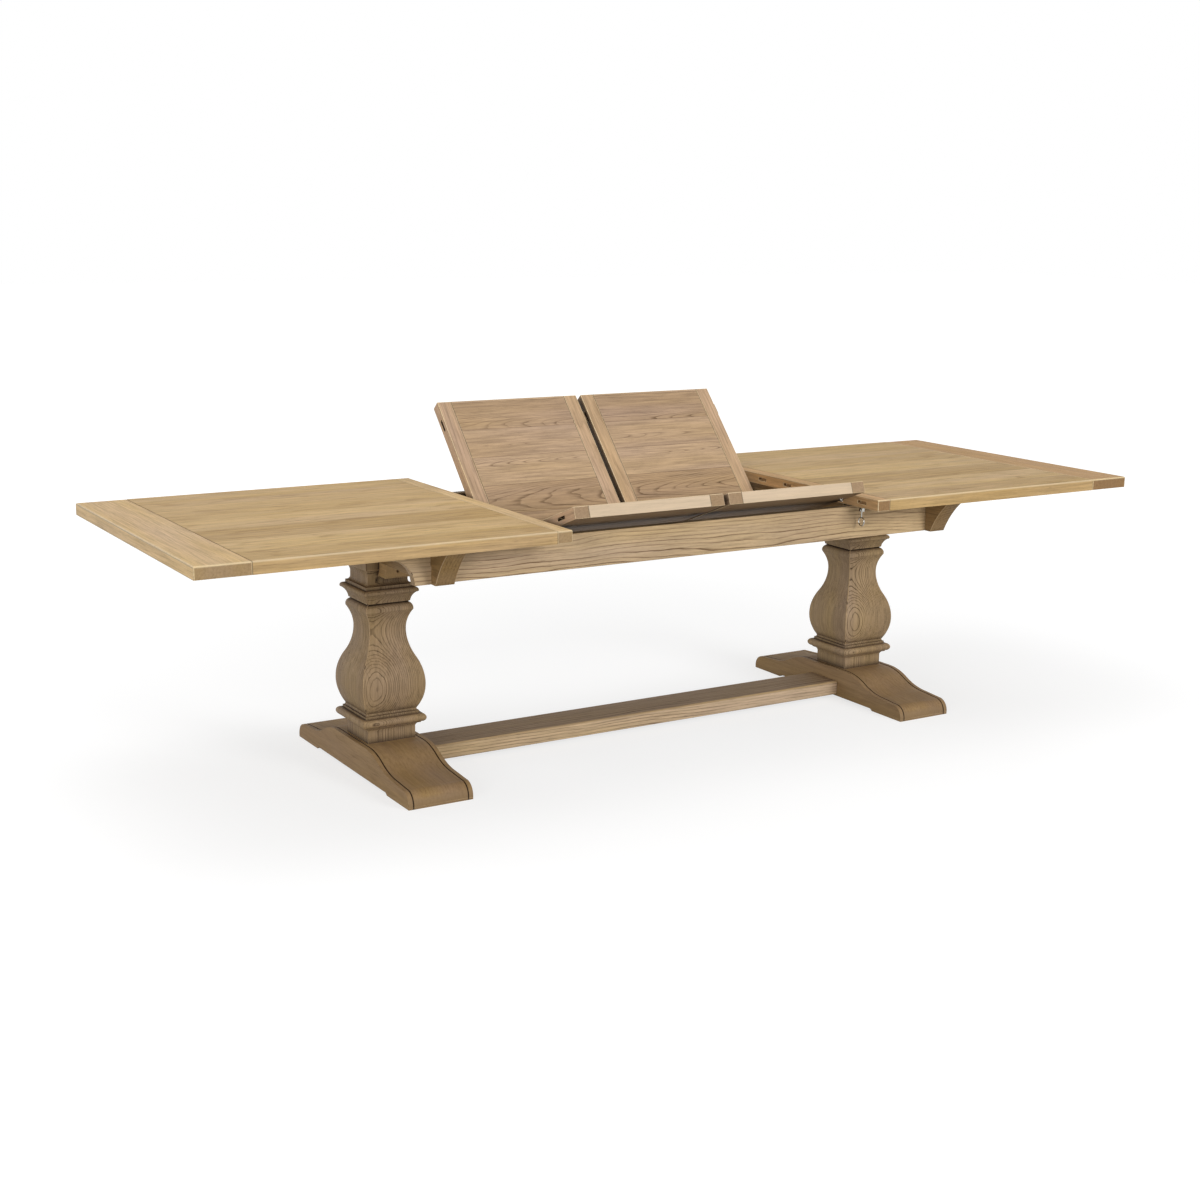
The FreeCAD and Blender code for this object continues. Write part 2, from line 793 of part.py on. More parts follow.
def latch_bracket(y):
    plate_half = s.latch_plate / 2
    plate = box((latch_x - s.latch_ear_half, latch_x - s.latch_ear_half + s.latch_plate),
                (y - plate_half, y + plate_half), (underside - s.latch_plate_thickness, underside))
    parts = [plate]
    for edge in (-1, 1):
        ear_y = y + s.latch_ear_gap / 2 * edge
        ear = (ear_y, ear_y + s.latch_ear_thickness) if edge > 0 else (ear_y - s.latch_ear_thickness, ear_y)
        parts.append(box((latch_x - s.latch_ear_half, latch_x + s.latch_ear_half), ear,
                         (latch_z - s.latch_pin_radius * 2, underside - s.latch_plate_thickness)))
    pin_half = s.latch_ear_gap / 2 + s.latch_ear_thickness
    parts.append(cylinder("y", s.latch_pin_radius, pin_half * 2, latch_x, y - pin_half, latch_z))
    return fuse(*parts)


def latch_hook(y):
    """A wire hook that hangs by its eye and ends in a ring."""
    eye = ring("y", s.hook_eye_radius, s.hook_wire_radius, latch_x, y, latch_z)
    arm_top = latch_z - s.hook_eye_radius
    arm = cylinder("z", s.hook_wire_radius, s.hook_arm_length - s.hook_eye_radius, latch_x, y,
                   arm_top - s.hook_arm_length + s.hook_eye_radius)
    loop = ring("x", s.hook_ring_radius, s.hook_wire_radius, latch_x, y, latch_z - hook_length)
    return fuse(eye, arm, loop)


def keeper_peg(x, y):
    stem = cylinder("z", s.peg_radius, s.peg_length, x, y, underside - s.peg_length)
    seat = cylinder("z", s.peg_seat_radius, s.peg_seat_thickness, x, y, underside - s.peg_seat_thickness)
    return fuse(stem, seat)


latch_y = apron_face_y + s.latch_stand_off
latch_places = (("front", -latch_y), ("back", latch_y))
piece("latch_brackets", group(*[latch_bracket(y) for name, y in latch_places]))
for name, y in latch_places:
    piece(f"{name}_latch_hook", latch_hook(y))
pegs = [keeper_peg(-top_inner_x - peg_set_back, y) for name, y in latch_places]
piece("left_top_keeper_pegs", group(*pegs))


# Folding leaves, drawn level in the table top and then raised to the half open pose

hinge_y = s.pivot_reach - s.pivot_reach * cosine(s.far_tilt) - s.pivot_drop * sine(s.far_tilt)
hinge_z = pivot_height - s.pivot_reach * sine(s.far_tilt) + s.pivot_drop * cosine(s.far_tilt)
X_AXIS = FreeCAD.Vector(1, 0, 0)


def raised(half, shape):
    """Turns a piece of the near or far half of a leaf from level to its half open place."""
    angle = s.far_tilt if half == "far" else -s.near_tilt
    shape.Placement.Rotation = FreeCAD.Rotation(X_AXIS, 1)
    bind(shape, "Placement.Rotation.Angle", angle)
    bind(shape, "Placement.Base.y", hinge_y + table_top * sine(angle))
    bind(shape, "Placement.Base.z", hinge_z - table_top * cosine(angle))
    return shape


def outward(half, low, high):
    """An interval of y in one half of a leaf, given outwards from the fold."""
    return (low, high) if half == "far" else (-high, -low)


def hinge_knuckle(low, high, radius, bore):
    """A knuckle on the fold line, at the level of the top face."""
    barrel = cylinder("x", radius, high - low, low, 0, table_top)
    if bore:
        return cut(barrel, cylinder("x", bore, high - low, low, 0, table_top))
    return barrel


def hinge_plate(half, start):
    """One flap of a butterfly hinge, let into the edge of its half of the leaf."""
    fold = s.leaf_fold_gap / 2
    flap_y = outward(half, fold, fold + s.hinge_plate_thickness)
    flap_top = table_top - s.knuckle_radius - s.knuckle_play
    end = start + s.hinge_length
    flap = box((start, end), flap_y, (table_top - s.hinge_plate_depth, flap_top))
    far_barrels = ((start, start + s.knuckle_length), (end - s.knuckle_length, end))
    near_barrel = ((start + s.knuckle_length + s.knuckle_play, end - s.knuckle_length - s.knuckle_play),)
    parts = [flap]
    tunnel = s.hinge_pin_radius + s.hinge_pin_play
    for low, high in (far_barrels if half == "far" else near_barrel):
        web = box((low, high), flap_y, (flap_top, table_top - s.hinge_pin_radius - s.knuckle_play))
        parts.append(web)
        parts.append(hinge_knuckle(low, high, s.knuckle_radius, tunnel if half == "near" else None))
    if half == "far":
        parts.append(hinge_knuckle(start, end, s.hinge_pin_radius, None))
    return fuse(*parts)


def hinge_recess(half, start):
    """The room for a hinge in the edge of a leaf half: a flap's mortise and a knuckle's notch."""
    end = start + s.hinge_length
    flap_back = s.leaf_fold_gap / 2 + s.hinge_plate_thickness
    mortise = box((start, end), outward(half, 0, flap_back), (table_top - s.hinge_plate_depth, table_top))
    reach = s.knuckle_radius + s.knuckle_play
    notch = box((start - s.knuckle_play, end + s.knuckle_play), outward(half, 0, reach),
                (table_top - reach, table_top))
    return fuse(mortise, notch)


def pivot_lug(x):
    """A steel plate under the far half that turns on the pivot rod."""
    lug_x = (x - s.lug_thickness / 2, x + s.lug_thickness / 2)
    plate = box(lug_x, (s.pivot_reach - s.lug_half_width, s.pivot_reach + s.lug_half_width),
                (pivot_height - s.lug_below_pivot, underside))
    foot_x = (x - s.lug_foot_width / 2, x + s.lug_foot_width / 2)
    flange = box(foot_x, (s.pivot_reach - s.lug_half_width, s.pivot_reach + s.lug_half_width),
                 (underside - s.lug_foot_thickness, underside))
    bore = cylinder("x", bush_radius + s.rod_play, s.lug_thickness, lug_x[0], s.pivot_reach, pivot_height)
    return cut(fuse(plate, flange), bore)


def bush(x):
    """A flanged sleeve between the rod and a lug."""
    half_body = s.lug_thickness / 2 + s.bush_side_play
    half_all = half_body + s.bush_flange_thickness
    start = x - half_all
    parts = [cylinder("x", bush_radius, half_all * 2, start, s.pivot_reach, pivot_height)]
    for low in (start, x + half_body):
        parts.append(cylinder("x", bush_radius + s.bush_flange, s.bush_flange_thickness, low,
                              s.pivot_reach, pivot_height))
    tunnel = cylinder("x", s.rod_radius + s.rod_play, half_all * 2, start, s.pivot_reach, pivot_height)
    return cut(fuse(*parts), tunnel)


def leaf_half(name, side, half):
    low, high = span(side, leaf_inner_x, leaf_outer_x)
    y = outward(half, s.leaf_fold_gap / 2, half_width)
    tongue_y = outward(half, s.inner_tongue_y, outer_tongue_y)
    hinges = (low + s.hinge_inset, high - s.hinge_inset - s.hinge_length)
    panel = box((low + s.leaf_cleat_width, high - s.leaf_cleat_width), y, board_z)
    panel = cut(eased(panel, table_top, s.seam_ease), *[hinge_recess(half, start) for start in hinges])
    piece(f"{name}_leaf_{half}_panel", raised(half, panel))
    slotted = eased(box((low, low + s.leaf_cleat_width), y, board_z), table_top, s.seam_ease)
    slotted = cut(slotted, *[slot(low, spot) for spot in tongue_y])
    tongued = eased(box((high - s.leaf_cleat_width, high), y, board_z), table_top, s.seam_ease)
    tongued = fuse(tongued, *[tongue(high, spot) for spot in tongue_y])
    piece(f"{name}_leaf_{half}_cleats", raised(half, group(slotted, tongued)))
    plates = [hinge_plate(half, start) for start in hinges]
    piece(f"{name}_leaf_{half}_hinges", raised(half, group(*plates)))


for name, side in SIDES:
    low, high = span(side, leaf_inner_x, leaf_outer_x)
    lugs = (low + s.lug_inset, high - s.lug_inset)
    piece(f"{name}_leaf_bushes", group(*[bush(x) for x in lugs]))
    piece(f"{name}_leaf_pivot_lugs", raised("far", group(*[pivot_lug(x) for x in lugs])))
    for half in ("far", "near"):
        leaf_half(name, side, half)
for half, y in (("near", -latch_y), ("far", latch_y)):
    piece(f"right_leaf_{half}_keeper_peg", raised(half, keeper_peg(leaf_outer_x - peg_set_back, y)))


# Every object has to be sound before anything is written

doc.recompute()
for thing in doc.Objects:
    if "Invalid" in thing.State or "Error" in thing.State:
        raise RuntimeError(f"{thing.Name} {thing.Label} failed: {thing.State}")
for name, shape in PIECES.items():
    if shape.Shape.isNull() or not shape.Shape.isValid() or not shape.Shape.Solids:
        raise RuntimeError(f"{name} has no sound solid")

os.makedirs("parts", exist_ok=True)
for name, shape in PIECES.items():
    shape.Shape.exportStep(f"parts/{name}.step")
print(len(PIECES), "sub-parts written")
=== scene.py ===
# %% [markdown]
# An extending dining table in limed oak: two sliding tops, two butterfly leaves that stand half
# unfolded, and two square vase columns on sled feet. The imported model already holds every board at
# its real size, so this lesson is about finish: how wood, steel, brass and chrome are made to look
# like themselves with nodes, and how a studio picture of them is set up.

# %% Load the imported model
import math
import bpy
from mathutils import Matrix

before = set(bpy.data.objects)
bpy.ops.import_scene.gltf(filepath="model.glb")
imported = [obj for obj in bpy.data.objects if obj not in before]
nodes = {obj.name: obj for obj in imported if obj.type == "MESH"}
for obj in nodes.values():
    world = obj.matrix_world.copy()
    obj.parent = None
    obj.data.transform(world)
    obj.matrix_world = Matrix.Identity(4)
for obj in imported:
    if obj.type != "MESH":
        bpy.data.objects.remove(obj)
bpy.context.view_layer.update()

from types import SimpleNamespace

import bpy
from mathutils import Matrix, Vector

bpy.ops.object.select_all(action="DESELECT")

# %% [markdown]
# Colours are written as sRGB hex values, the way a paint chart or a picture editor gives them.
# Shaders work in linear light, so one function converts them. A second small function adds a node
# to a material, sets its values and links its inputs, which keeps the long node lists readable.

# %% Colours from hex values


def linear(hex_colour):
    """An sRGB hex value as linear red, green, blue and alpha."""
    channels = [int(hex_colour[i:i + 2], 16) / 255 for i in (0, 2, 4)]
    return [c / 12.92 if c <= 0.04045 else ((c + 0.055) / 1.055) ** 2.4 for c in channels] + [1.0]


print("middle grey is", round(linear("808080")[0], 3), "in linear light")

# %% Add a node
MATH = "ShaderNodeMath"
VECTOR_MATH = "ShaderNodeVectorMath"
MAP_RANGE = "ShaderNodeMapRange"
MAPPING = "ShaderNodeMapping"
NOISE = "ShaderNodeTexNoise"
MIX = "ShaderNodeMix"
SPLIT = "ShaderNodeSeparateXYZ"
JOIN = "ShaderNodeCombineXYZ"
RGBA = {"data_type": "RGBA"}
SMOOTH = {"interpolation_type": "SMOOTHSTEP"}
TIMES = {"operation": "MULTIPLY"}
TIMES_PLUS = {"operation": "MULTIPLY_ADD"}
PLUS = {"operation": "ADD"}
MINUS = {"operation": "SUBTRACT"}
SIZE = {"operation": "ABSOLUTE"}
SMALLER = {"operation": "MINIMUM"}


def add(tree, kind, settings=None, **inputs):
    """Adds a node. A setting is an attribute, and an input is a value or another node's socket.
    An input's name is its label with _ for spaces, or i and its number."""
    node = tree.nodes.new(kind)
    for key, value in (settings or {}).items():
        setattr(node, key, value)
    for key, value in inputs.items():
        numbered = key[0] == "i" and key[1:].isdigit()
        socket = node.inputs[int(key[1:]) if numbered else key.replace("_", " ")]
        if isinstance(value, bpy.types.NodeSocket):
            tree.links.new(value, socket)
        else:
            socket.default_value = value
    return node


print("kinds of node used most:", MATH, VECTOR_MATH, MAP_RANGE)

# %% Start a material


def new_material(name):
    """An empty material with a Principled surface, and its tree."""
    material = bpy.data.materials.new(name)
    material.use_nodes = True
    tree = material.node_tree
    tree.nodes.clear()
    surface = add(tree, "ShaderNodeBsdfPrincipled")
    add(tree, "ShaderNodeOutputMaterial", Surface=surface.outputs["BSDF"])
    return material, tree, surface


print(len(bpy.data.materials), "materials before the first finish")

# %% [markdown]
# A panel is glued up from planks. Every plank came from another place in the tree, so each gets a
# random draw of its own, found from its number across the panel. The draw also moves the plank's
# patterns far away from its neighbour's, so no figure runs on over a glue line.

# %% Lay out a board and its planks
TURN = {"x": (0, 0), "y": (0, -math.pi / 2), "z": (math.pi / 2, 0)}
ONE_PIECE_MM = 10000
FIRST_PLANK = 40.5
PLANK_JUMP = 9.0


def lay_board(tree, grain, tilt, plank_mm, seed):
    """Sockets with the place along, across and through a board, and each plank's random draw."""
    place = add(tree, "ShaderNodeTexCoord")
    turn = (math.radians(-tilt),) + TURN[grain]
    at = add(tree, MAPPING, i0=place.outputs["Object"], Rotation=turn)
    normal = add(tree, MAPPING, {"vector_type": "VECTOR"}, i0=place.outputs["Normal"], Rotation=turn)
    along = add(tree, SPLIT, i0=at.outputs[0]).outputs
    facing = add(tree, SPLIT, i0=normal.outputs[0]).outputs
    plank = (plank_mm or ONE_PIECE_MM) / 1000
    count = add(tree, MATH, {"operation": "DIVIDE"}, i0=along["Y"], i1=plank)
    shifted = add(tree, MATH, PLUS, i0=count.outputs[0], i1=FIRST_PLANK + seed)
    number = add(tree, MATH, {"operation": "FLOOR"}, i0=shifted.outputs[0])
    middle = add(tree, MATH, {"operation": "FRACT"}, i0=shifted.outputs[0])
    draw = add(tree, "ShaderNodeTexWhiteNoise", {"noise_dimensions": "1D"}, W=number.outputs[0])
    drawn = add(tree, "ShaderNodeSeparateColor", i0=draw.outputs["Color"]).outputs
    jump = add(tree, VECTOR_MATH, {"operation": "SCALE"}, i0=draw.outputs["Color"], Scale=PLANK_JUMP)
    moved = add(tree, VECTOR_MATH, PLUS, i0=at.outputs[0], i1=jump.outputs[0])
    return SimpleNamespace(place=place.outputs["Object"], along=along, facing=facing, drawn=drawn,
                           middle=middle.outputs[0], moved=moved.outputs[0])


print("grain may run along", sorted(TURN))

# %% [markdown]
# A plank is a slice of a trunk. Its growth rings are nested cylinders round the trunk's heart, so a
# ring pattern worked out from the distance to that heart gives the right figure on every face at
# once: long lines on a quartered edge, arches where the saw ran flat, ovals where a bulge is carved
# through the layers, and arcs on end grain. The heart line is tilted a little against the board,
# because trees taper, and that tilt is what makes the arches.

# %% Distance to the heart of the trunk
HALF_PLANK_MM = 50
SAWN_FROM_HEART_MM = 80


def heart_distance(tree, board, heart_mm, heart_side, rise, plank_mm):
    """How far a point lies from the heart line. rise is how much that line climbs per metre."""
    reach = (heart_mm[1] - heart_mm[0]) / 1000
    depth = add(tree, MATH, TIMES_PLUS, i0=board.drawn["Green"], i1=reach, i2=heart_mm[0] / 1000)
    taper = add(tree, MATH, TIMES_PLUS, i0=board.along["X"], i1=rise, i2=depth.outputs[0])
    below = add(tree, MATH, PLUS, i0=board.along["Z"], i1=taper.outputs[0])
    if plank_mm:
        aside = add(tree, MATH, MINUS, i0=board.middle, i1=board.drawn["Red"])
        across = add(tree, MATH, TIMES, i0=aside.outputs[0], i1=plank_mm / 1000)
    else:
        across = add(tree, MATH, PLUS, i0=board.along["Y"], i1=heart_side)
    flat = add(tree, JOIN, i0=across.outputs[0], i1=below.outputs[0])
    return add(tree, VECTOR_MATH, {"operation": "LENGTH"}, i0=flat.outputs[0]).outputs["Value"]


bend_mm = math.hypot(HALF_PLANK_MM, SAWN_FROM_HEART_MM) - SAWN_FROM_HEART_MM
print("sawn", SAWN_FROM_HEART_MM, "mm from the heart, a plank gains", round(bend_mm, 1), "mm to its edge")

# %% [markdown]
# Slow waves bend the rings as a living tree does, and a fine ripple frays their edges. In each ring
# the spring growth is a dark porous line that fades into the dense wood of summer. Good and bad
# years make some lines bold and others faint, and breaks along the fibres keep them from looking
# drawn with a pen.

# %% Growth rings
RING_SOFTNESS = 0.28
RING_ONSET = 0.93
FAINT_YEAR = 0.4
WAVE_REACH = 4
FRAY_SHARE = 0.7
FIBRE_GAPS = (0.36, 0.6)
GAP_STRENGTH = (1.1, 0.72)
# Counts per metre along, across and through the board: a wave is 625 mm long and 143 mm wide,
# a fray 111 by 17 mm, and a bundle of fibres 143 by 7 mm
SLOW_WAVES = (1.6, 7, 7)
FRAY = (9, 60, 60)
WOOD_FIBRES = (7, 140, 140)


def growth_rings(tree, board, distance, ring_mm, wander_mm, fibre):
    """How much porous early wood shows at each point, from 0 to 1."""
    slow = add(tree, MAPPING, i0=board.moved, Scale=SLOW_WAVES)
    waves = add(tree, NOISE, i0=slow.outputs[0], Scale=1.0, Detail=2.0, Roughness=0.45)
    quick = add(tree, MAPPING, i0=board.moved, Scale=FRAY)
    ripple = add(tree, NOISE, i0=quick.outputs[0], Scale=1.0, Detail=2.0)
    bent = add(tree, MATH, TIMES_PLUS, i0=waves.outputs["Fac"], i1=wander_mm * WAVE_REACH / 1000,
               i2=distance)
    frayed = add(tree, MATH, TIMES_PLUS, i0=ripple.outputs["Fac"], i1=ring_mm * FRAY_SHARE / 1000,
                 i2=bent.outputs[0])
    rings = add(tree, MATH, {"operation": "DIVIDE"}, i0=frayed.outputs[0], i1=ring_mm / 1000)
    ring = add(tree, MATH, {"operation": "FRACT"}, i0=rings.outputs[0])
    line = add(tree, MAP_RANGE, SMOOTH, Value=ring.outputs[0], i1=0.0, i2=RING_SOFTNESS, i3=1.0, i4=0.0)
    onset = add(tree, MAP_RANGE, SMOOTH, Value=ring.outputs[0], i1=RING_ONSET, i2=1.0, i3=0.0, i4=1.0)
    layer = add(tree, MATH, {"operation": "MAXIMUM"}, i0=line.outputs[0], i1=onset.outputs[0])
    year = add(tree, MATH, {"operation": "FLOOR"}, i0=rings.outputs[0])
    growth = add(tree, "ShaderNodeTexWhiteNoise", {"noise_dimensions": "1D"}, W=year.outputs[0])
    weight = add(tree, MAP_RANGE, Value=growth.outputs["Value"], i3=FAINT_YEAR, i4=1.0)
    weighed = add(tree, MATH, TIMES, i0=layer.outputs[0], i1=weight.outputs[0])
    breaks = add(tree, MAP_RANGE, Value=fibre, i1=FIBRE_GAPS[0], i2=FIBRE_GAPS[1], i3=GAP_STRENGTH[0],
                 i4=GAP_STRENGTH[1])
    return add(tree, MATH, TIMES, i0=weighed.outputs[0], i1=breaks.outputs[0]).outputs[0]


print("ring lines fade over", RING_SOFTNESS, "of a year's growth")

# %% [markdown]
# Between the rings the eye reads fibres: bundles from 7 mm down to half a millimetre wide, and short
# dark pores. Over a whole board the tone drifts too, from golden to greyish, because sap and light
# colour oak unevenly.

# %% Drifting tone
# Counts per metre again: a patch of tone is 455 mm long and 111 mm wide, and one of hue 714 by 91 mm
TONE_PATCHES = (2.2, 9, 9)
HUE_PATCHES = (1.4, 11, 11)
HUE_PLACE = (3.1, 1.7, 0.4)
HUE_SHIFT = Vector((0.08, 0.04, -0.42))
PATCH_SHARE = 0.7
PATCH_START = 0.32
PLANK_TONE = 0.5
TONE_LIFT = 0.02
CLAMPED_MINUS = {"operation": "SUBTRACT", "use_clamp": True}


def body_colour(tree, board, pale, deep, spread, hue):
    """The wood between the rings, and the patches that it follows."""
    broad = add(tree, MAPPING, i0=board.moved, Scale=TONE_PATCHES)
    patch = add(tree, NOISE, i0=broad.outputs[0], Scale=1.0, Detail=3.0)
    by_plank = add(tree, MATH, TIMES_PLUS, i0=board.drawn["Blue"], i1=spread,
                   i2=(PLANK_TONE - spread) / 2 + TONE_LIFT)
    tone = add(tree, MATH, TIMES_PLUS, i0=patch.outputs["Fac"], i1=PATCH_SHARE, i2=by_plank.outputs[0])
    tone = add(tree, MATH, CLAMPED_MINUS, i0=tone.outputs[0], i1=PATCH_START)
    body = add(tree, MIX, RGBA, i0=tone.outputs[0], i6=linear(pale), i7=linear(deep))
    drift = add(tree, MAPPING, i0=board.moved, Location=HUE_PLACE, Scale=HUE_PATCHES)
    golden = add(tree, NOISE, i0=drift.outputs[0], Scale=1.0, Detail=2.0)
    shift = HUE_SHIFT * hue
    tint = add(tree, VECTOR_MATH, TIMES_PLUS, i0=golden.outputs["Fac"], i1=shift,
               i2=Vector((1, 1, 1)) - shift / 2)
    colour = add(tree, VECTOR_MATH, TIMES, i0=body.outputs[2], i1=tint.outputs[0])
    return colour.outputs[0], patch.outputs["Fac"]


print("from grey to golden, blue falls by", round(-HUE_SHIFT.z, 2))

# %% Fibres and pores
# A pore is 22 mm long and about 1 mm wide, drawn coarser than in oak so that it shows
PORES = (45, 900, 900)
PORE_RANGE = (0.6, 0.72)
PORE_DEPTH = 0.22
FIBRE_RANGE = (0.28, 0.72)
FIBRE_TONE = 0.97


def fibre_shade(tree, board, fibre, fibre_depth):
    """A factor near 1 that darkens fibres and pores."""
    dash = add(tree, MAPPING, i0=board.moved, Scale=PORES)
    pores = add(tree, NOISE, i0=dash.outputs[0], Scale=1.0, Detail=1.0)
    pore = add(tree, MAP_RANGE, Value=pores.outputs["Fac"], i1=PORE_RANGE[0], i2=PORE_RANGE[1])
    streak = add(tree, MAP_RANGE, Value=fibre, i1=FIBRE_RANGE[0], i2=FIBRE_RANGE[1],
                 i3=FIBRE_TONE - fibre_depth, i4=FIBRE_TONE + fibre_depth)
    shade = add(tree, MATH, TIMES_PLUS, i0=pore.outputs[0], i1=-PORE_DEPTH, i2=streak.outputs[0])
    return shade.outputs[0]


print("pores are drawn", round(1000 / PORES[1], 1), "mm wide")

# %% [markdown]
# What years of use and a maker's rag leave on a board is laid on the wood in layers, and so are some
# painted light and painted shade. Each layer is a mask and a colour, so a board takes only the layers
# it needs. The first ones belong to whole faces: glue lines run between the planks, end grain drinks
# the finish and dries grey, faces that look up take painted shade, faces that look down take painted
# shade and partly a darker stain, and faces that look to the front take painted light. A face's own
# direction tells which it is.

# %% Layers of wear and of painted light and shade for faces
GLUE = "4a3522"
GLUE_LINE_MM = (0.4, 1.3)
END_FACING = (0.8, 0.95)
END_SHARE = 0.62


def glue_lines(tree, board, colour, plank_mm, dark):
    """Lines about a millimetre wide between the planks."""
    edge = add(tree, MATH, {"operation": "PINGPONG"}, i0=board.middle, i1=0.5)
    share = add(tree, MAP_RANGE, Value=edge.outputs[0], i1=GLUE_LINE_MM[0] / plank_mm,
                i2=GLUE_LINE_MM[1] / plank_mm, i3=dark, i4=0.0)
    return add(tree, MIX, RGBA, i0=share.outputs[0], i6=colour, i7=linear(GLUE)).outputs[2]


def end_grain(tree, board, colour, tone):
    """Faces that cut across the fibres."""
    square_on = add(tree, MATH, SIZE, i0=board.facing["X"])
    share = add(tree, MAP_RANGE, Value=square_on.outputs[0], i1=END_FACING[0], i2=END_FACING[1], i3=0.0,
                i4=END_SHARE)
    return add(tree, MIX, RGBA, i0=share.outputs[0], i6=colour, i7=linear(tone)).outputs[2]


def face_light_shade_and_stain(tree, colour, facing, limits, share, tone):
    """Faces whose direction along one axis lies between the limits take another tone: painted light and
    painted shade, and partly a stain.
    """
    mask = add(tree, MAP_RANGE, Value=facing, i1=limits[0], i2=limits[1], i3=0.0, i4=share)
    return add(tree, MIX, RGBA, i0=mask.outputs[0], i6=colour, i7=linear(tone)).outputs[2]


print("end grain turns", END_SHARE, "of the way to its own tone")

# %% [markdown]
# The other layers sit at edges. Joints and scribed lines across the table hold dirt. The hollows of
# mouldings are darkened, partly by stain that the rag could not reach and partly by painted shade,
# and the upper edge of the tops is paler, partly rubbed and partly a painted highlight. Distances
# from the table's middle place the joints and the rim, and an ambient occlusion node, which feels
# how closed in a point is, finds the hollows.

# %% Dirt in joints
DIRT = "3a2a1b"
DIRT_FADE_MM = 0.8


def dirty_joints(tree, board, colour, seams_mm, half_mm, dark):
    """Lines across the table, at distances from its middle, that hold dirt."""
    out = add(tree, SPLIT, i0=board.place)
    out = add(tree, MATH, SIZE, i0=out.outputs["X"])
    gaps = []
    for seam in seams_mm:
        off = add(tree, MATH, MINUS, i0=out.outputs[0], i1=seam / 1000)
        gaps.append(add(tree, MATH, SIZE, i0=off.outputs[0]).outputs[0])
    nearest = gaps[0]
    for gap in gaps[1:]:
        nearest = add(tree, MATH, SMALLER, i0=nearest, i1=gap).outputs[0]
    share = add(tree, MAP_RANGE, Value=nearest, i1=half_mm / 1000, i2=(half_mm + DIRT_FADE_MM) / 1000,
                i3=dark, i4=0.0)
    return add(tree, MIX, RGBA, i0=share.outputs[0], i6=colour, i7=linear(DIRT)).outputs[2]


print("dirt fades over", DIRT_FADE_MM, "mm")

# %% Stain and painted shade in hollows
HOLLOW_STAIN_AND_SHADE = "2e2015"
HOLLOW_REACH = 0.03
HOLLOW_SAMPLES = 8
HOLLOW_RANGE = (0.42, 0.96)


def stain_and_shade_in_hollows(tree, colour, strength):
    """Darker hollows: partly stain that was wiped off the faces and stayed there, partly painted shade.
    """
    hollow = add(tree, "ShaderNodeAmbientOcclusion", {"samples": HOLLOW_SAMPLES}, Distance=HOLLOW_REACH)
    share = add(tree, MAP_RANGE, Value=hollow.outputs["AO"], i1=HOLLOW_RANGE[0], i2=HOLLOW_RANGE[1],
                i3=strength, i4=0.0)
    return add(tree, MIX, RGBA, i0=share.outputs[0], i6=colour, i7=linear(HOLLOW_STAIN_AND_SHADE)).outputs[2]


print("a hollow is felt over", HOLLOW_REACH, "m")

# %% Rubbed rim of the tops, with a painted highlight
RIM_WEAR_AND_HIGHLIGHT = "efdcb8"
RIM_REACH = (0.0025, 0.0055)
TOP_SIDE = 0.525
TOP_END = 1.6075
TOP_LEVEL = 0.770


def rim_wear_and_highlight(tree, board, colour, strength):
    """The upper edge all round the tops, a few millimetres wide, made paler: partly wear, partly a
    painted highlight.
    """
    spot = add(tree, VECTOR_MATH, SIZE, i0=board.place)
    spot = add(tree, SPLIT, i0=spot.outputs[0]).outputs
    side = add(tree, MATH, MINUS, i0=TOP_SIDE, i1=spot["Y"])
    tip = add(tree, MATH, MINUS, i0=TOP_END, i1=spot["X"])
    near = add(tree, MATH, SMALLER, i0=side.outputs[0], i1=tip.outputs[0])
    drop = add(tree, MATH, MINUS, i0=TOP_LEVEL, i1=spot["Z"])
    gap = add(tree, JOIN, i0=near.outputs[0], i1=drop.outputs[0])
    gap = add(tree, VECTOR_MATH, {"operation": "LENGTH"}, i0=gap.outputs[0])
    share = add(tree, MAP_RANGE, Value=gap.outputs["Value"], i1=RIM_REACH[0], i2=RIM_REACH[1],
                i3=strength, i4=0.0)
    return add(tree, MIX, RGBA, i0=share.outputs[0], i6=colour, i7=linear(RIM_WEAR_AND_HIGHLIGHT)).outputs[2]


print("rim of the tops at", TOP_END, TOP_SIDE, TOP_LEVEL, "m")

# %% [markdown]
# The lacquer is thin and matt, and it sinks into the open grain, so the pattern that darkens a pore
# also lowers it a little and makes it duller. A bump is enough for that, because no pore is deep
# enough to change an outline.

# %% Matt lacquer
LACQUER_IOR = 1.5
LACQUER_LEVEL = 0.16
RELIEF_STRENGTH = 0.35
RELIEF_DEPTH = 0.0006
SUNK_RANGE = (0.2, 1.1)
SUNK_DULLER = 0.14


def lacquer(tree, surface, veins, pitted, roughness):
    """Relief, dullness and gloss of a lacquered board, from its veins and its pitted fibres."""
    height = add(tree, MATH, TIMES_PLUS, i0=veins, i1=-1.0, i2=pitted)
    relief = add(tree, "ShaderNodeBump", Strength=RELIEF_STRENGTH, Distance=RELIEF_DEPTH,
                 Height=height.outputs[0])
    tree.links.new(relief.outputs[0], surface.inputs["Normal"])
    dull = add(tree, MAP_RANGE, Value=height.outputs[0], i1=SUNK_RANGE[0], i2=SUNK_RANGE[1],
               i3=roughness + SUNK_DULLER, i4=roughness)
    tree.links.new(dull.outputs[0], surface.inputs["Roughness"])
    surface.inputs["IOR"].default_value = LACQUER_IOR
    surface.inputs["Specular IOR Level"].default_value = LACQUER_LEVEL


print("lacquer on oak, index", LACQUER_IOR)

# %% [markdown]
# Now the layers come together in one recipe for oak. pale and deep are the tones between planks and
# patches, and vein is the porous early wood. Every board of the table is then one call with its own
# tones, ring width and place in the trunk, which keeps the boards of one family alike.

